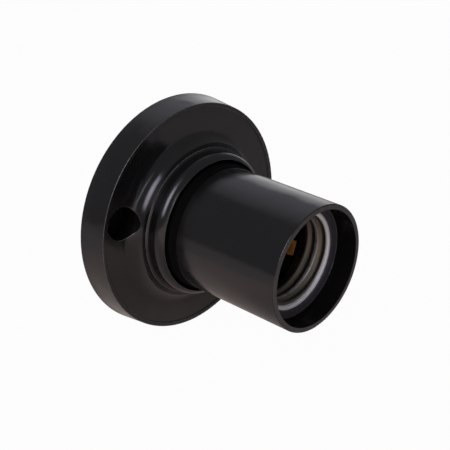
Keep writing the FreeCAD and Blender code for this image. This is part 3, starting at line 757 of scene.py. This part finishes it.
# ---------------------------------------------------------------- operators
class LAMPHOLDER_OT_base(bpy.types.Operator):
    """Finish of the wall base"""

    bl_idname = "lampholder.base"
    bl_label = "Base"

    def execute(self, context):
        sizes = context.scene.lampholder_moulding
        finish = moulded_black("phenolic_base", sizes, dust_share=0.10, waves_per_metre=150.0)
        dress(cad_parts["base"], finish)
        return {"FINISHED"}


class LAMPHOLDER_OT_shell(bpy.types.Operator):
    """Finish of the screwed shell"""

    bl_idname = "lampholder.shell"
    bl_label = "Shell"

    def execute(self, context):
        sizes = context.scene.lampholder_moulding
        finish = moulded_black("phenolic_shell", sizes, dust_share=0.06, waves_per_metre=110.0)
        dress(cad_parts["shell"], finish)
        return {"FINISHED"}


class LAMPHOLDER_OT_sleeve(bpy.types.Operator):
    """Drawn Edison sleeve with its rounded thread"""

    bl_idname = "lampholder.sleeve"
    bl_label = "Edison sleeve"

    def execute(self, context):
        sizes = context.scene.lampholder_threads
        piece = linked("drawn_sleeve", sleeve_mesh(sizes))
        dress(piece, plated_sheet("plated_sheet", context.scene.lampholder_metals, sizes))
        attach(piece, "sleeve")
        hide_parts("thread_sleeve")
        return {"FINISHED"}


class LAMPHOLDER_OT_insert(bpy.types.Operator):
    """Finish of the contact insert"""

    bl_idname = "lampholder.insert"
    bl_label = "Contact insert"

    def execute(self, context):
        sizes = context.scene.lampholder_moulding
        dress(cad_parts["contact_insert"], moulded_insert("phenolic_insert", sizes))
        return {"FINISHED"}


class LAMPHOLDER_OT_brass(bpy.types.Operator):
    """Finish of the contacts, clamps, square nuts and rivets"""

    bl_idname = "lampholder.brass"
    bl_label = "Brass parts"

    def execute(self, context):
        metals = context.scene.lampholder_metals
        strip = rolled_brass("rolled_brass", metals)
        for side in ("side", "centre"):
            for part in ("contact", "wire_clamp", "terminal_nut", "contact_rivet"):
                dress(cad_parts[side + "_" + part], strip)
        return {"FINISHED"}


class LAMPHOLDER_OT_screws(bpy.types.Operator):
    """Slotted screws with fine threads, washers and nuts"""

    bl_idname = "lampholder.screws"
    bl_label = "Screws, washers and nuts"

    def execute(self, context):
        sizes = context.scene.lampholder_threads
        zinc = zinc_plate("zinc_plate", context.scene.lampholder_metals)
        for side, slot_deg in (("side", 35.0), ("centre", 118.0)):
            node = side + "_terminal_screw"
            fine_screw(node, sizes.terminal_head, sizes.terminal_head_h, sizes.terminal_shank,
                       sizes.terminal_pitch, sizes.screw_depth, slot_deg, zinc)
            dress(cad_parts[side + "_spring_washer"], zinc)
        for side, slot_deg in (("upper", 62.0), ("lower", 151.0)):
            node = side + "_insert_screw"
            fine_screw(node, sizes.fixing_head, sizes.fixing_head_h, sizes.fixing_shank,
                       sizes.fixing_pitch, sizes.screw_depth, slot_deg, zinc)
            dress(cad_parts[side + "_insert_washer"], zinc)
            dress(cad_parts[side + "_insert_nut"], zinc)
        return {"FINISHED"}


class LAMPHOLDER_OT_stage(bpy.types.Operator):
    """Pale floor, soft lights and camera"""

    bl_idname = "lampholder.stage"
    bl_label = "Stage"

    def execute(self, context):
        sizes = context.scene.lampholder_stage
        lay_floor(sizes)
        light_world(context.scene, sizes)
        soft_lights()
        stand_camera(context.scene, sizes)
        return {"FINISHED"}


# ---------------------------------------------------------------- stage
FLOOR_HALF = 1.6            # half of the floor's side, in metres
GLOW_EDGE = 0.02            # width over which the floor's glow starts, in metres
FLOOR_TO_CAMERA = 0.97      # how far the floor reads as plain white
LIT_POINT = Vector((0.0, -0.028, 0.0))
SENSOR_WIDTH = 36.0


def pale_floor(sizes):
    """Pale floor that reads as plain white to the camera and keeps the holder's shadow."""
    f = material("pale_floor")
    x, y, _ = f.parts(f.place())
    middle, back, front, side = 0.03, 0.034, -0.085, 0.01
    away = (x * x + (y + middle) ** 2.0) ** 0.5
    far = ((away - sizes.floor_near) / sizes.floor_edge).clamped()
    base = f.between(far, tuple(sizes.floor), tuple(sizes.floor_far))
    matt = f.surface(base, 0.9)
    to_camera = f.node("ShaderNodeLightPath", output="Is Camera Ray")
    to_gloss = f.node("ShaderNodeLightPath", output="Is Glossy Ray")
    under = ((y + back) / GLOW_EDGE).clamped() * (1.0 - far) * sizes.glow
    before = ((front - y) / GLOW_EDGE).clamped() * ((side - x) / GLOW_EDGE).clamped()
    glow = f.between(to_camera, tuple(sizes.floor), (1.0, 1.0, 1.0))
    lit = f.node("ShaderNodeEmission", {}, {"Color": glow, "Strength": 1.0})
    in_gloss = to_gloss * (under + before * sizes.front_glow)
    return f.finished(f.shared((to_camera * FLOOR_TO_CAMERA + in_gloss).clamped(), matt, lit))


def lay_floor(sizes):
    low, _ = CAD_BOX
    height = low[2] - sizes.gap
    ends = (-FLOOR_HALF, FLOOR_HALF)
    rows = [[Vector((x, y, height)) for x in ends] for y in ends]
    ground = linked("floor", grid_mesh("floor", rows, closed_round=False))
    dress(ground, pale_floor(sizes))


def light_world(scene, sizes):
    """Dim room in reflections, plain white to the camera."""
    f = Finish(bpy.data.worlds.new("soft_room"))
    dim = {"Color": (*sizes.room_tint, 1.0), "Strength": sizes.room}
    room = f.node("ShaderNodeBackground", {}, dim)
    white = f.node("ShaderNodeBackground", {}, {"Color": (1.0, 1.0, 1.0, 1.0), "Strength": 1.0})
    to_camera = f.node("ShaderNodeLightPath", output="Is Camera Ray")
    scene.world = f.finished(f.shared(to_camera, room, white), "ShaderNodeOutputWorld")


def soft_box(name, direction, distance, width, height, radiance, tint, hardness):
    """Light that stands in a direction from the holder, faces it and fades towards its edges."""
    place = LIT_POINT + Vector(direction).normalized() * distance
    lamp = bpy.data.lights.new(name, "AREA")
    lamp.shape = "RECTANGLE"
    lamp.size = width
    lamp.size_y = height
    lamp.energy = math.pi * width * height * radiance
    f = Finish(lamp)
    across, up, _ = f.parts(f.node("ShaderNodeNewGeometry", output="Parametric"))
    # the product of the two parabolas reaches 1/16 in the middle
    middle = ((across * (1.0 - across)) * (up * (1.0 - up)) * 16.0) ** hardness
    shade = f.between(middle, (0.0, 0.0, 0.0), tint)
    emission = f.node("ShaderNodeEmission", {}, {"Color": shade, "Strength": 1.0})
    f.finished(emission, "ShaderNodeOutputLight")
    box = linked(name, lamp)
    box.location = place
    box.visible_camera = False
    box.rotation_euler = (LIT_POINT - place).to_track_quat("-Z", "Y").to_euler()


def soft_lights():
    cool = (0.88, 0.85, 1.0)
    plain = (0.97, 0.96, 1.0)
    soft_box("left_light", (-0.72, -0.25, 0.64), distance=0.55, width=0.34, height=0.50,
             radiance=5.5, tint=cool, hardness=0.8)
    soft_box("front_strip", (-0.19, -0.95, 0.20), distance=0.60, width=0.09, height=0.38,
             radiance=2.6, tint=cool, hardness=0.8)
    soft_box("top_light", (0.42, 0.60, 0.68), distance=0.60, width=0.50, height=0.50,
             radiance=0.36, tint=cool, hardness=0.6)
    soft_box("right_light", (0.84, 0.53, 0.04), distance=0.60, width=0.60, height=0.60,
             radiance=0.90, tint=plain, hardness=0.5)


def stand_camera(scene, sizes):
    a, e = sizes.azimuth, sizes.elevation
    forward = Vector((math.sin(a) * math.cos(e), math.cos(a) * math.cos(e), -math.sin(e)))
    lens = bpy.data.cameras.new("camera")
    lens.lens = sizes.lens
    lens.sensor_width = SENSOR_WIDTH
    lens.clip_start = 0.01
    lens.clip_end = 20.0
    camera = linked("camera", lens)
    camera.location = sizes.camera_from
    camera.rotation_euler = forward.to_track_quat("-Z", "Y").to_euler()
    scene.camera = camera
    scene.view_settings.view_transform = "Standard"


# ---------------------------------------------------------------- panel and registration
class LAMPHOLDER_PT_panel(bpy.types.Panel):
    """Lists the pieces of the lamp holder."""

    bl_idname = "LAMPHOLDER_PT_panel"
    bl_label = "Lamp holder"
    bl_space_type = "VIEW_3D"
    bl_region_type = "UI"
    bl_category = "Lamp holder"

    def draw(self, context):
        for operator in OPERATORS:
            self.layout.operator(operator.bl_idname)
        for name in GROUPS:
            group = getattr(context.scene, name)
            box = self.layout.box()
            for size in group.bl_rna.properties:
                if size.identifier not in {"rna_type", "name"}:
                    box.prop(group, size.identifier)


GROUPS = {
    "lampholder_moulding": LampHolderMoulding,
    "lampholder_metals": LampHolderMetals,
    "lampholder_threads": LampHolderThreads,
    "lampholder_stage": LampHolderStage,
}
OPERATORS = (
    LAMPHOLDER_OT_base,
    LAMPHOLDER_OT_shell,
    LAMPHOLDER_OT_sleeve,
    LAMPHOLDER_OT_insert,
    LAMPHOLDER_OT_brass,
    LAMPHOLDER_OT_screws,
    LAMPHOLDER_OT_stage,
)
CLASSES = tuple(GROUPS.values()) + OPERATORS + (LAMPHOLDER_PT_panel,)


def register():
    for cls in CLASSES:
        bpy.utils.register_class(cls)
    for name, group in GROUPS.items():
        setattr(bpy.types.Scene, name, bpy.props.PointerProperty(type=group))


def unregister():
    for name in GROUPS:
        delattr(bpy.types.Scene, name)
    for cls in reversed(CLASSES):
        bpy.utils.unregister_class(cls)


def main():
    register()
    for operator in OPERATORS:
        family, action = operator.bl_idname.split(".")
        getattr(getattr(bpy.ops, family), action)()


if __name__ == "__main__":
    main()
